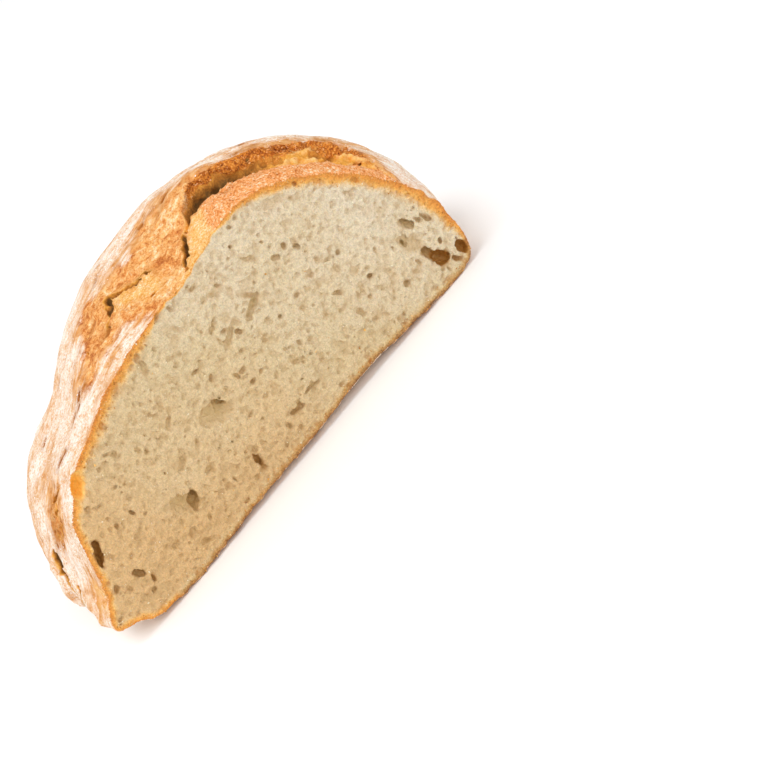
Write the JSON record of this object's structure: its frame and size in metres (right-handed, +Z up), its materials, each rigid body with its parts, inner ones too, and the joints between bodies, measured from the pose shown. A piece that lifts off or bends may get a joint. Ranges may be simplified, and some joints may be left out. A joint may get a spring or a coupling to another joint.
{
  "type": "bread loaf",
  "caption": "Half of a rustic country loaf, cut straight across, standing on its base, with a burst crust and an open crumb.",
  "frame": {"origin": "centre of the bounding box in plan, on the plane the loaf stands on", "axes": "+Z up, the cut face looks along -Y, +X to the right along the cut face"},
  "size_m": [0.24, 0.13, 0.1087],
  "materials": {
    "bread": "matte floured crust with a pale porous crumb"
  },
  "bodies": {
    "root": {"half_loaf": "bread"}
  },
  "joints": []
}
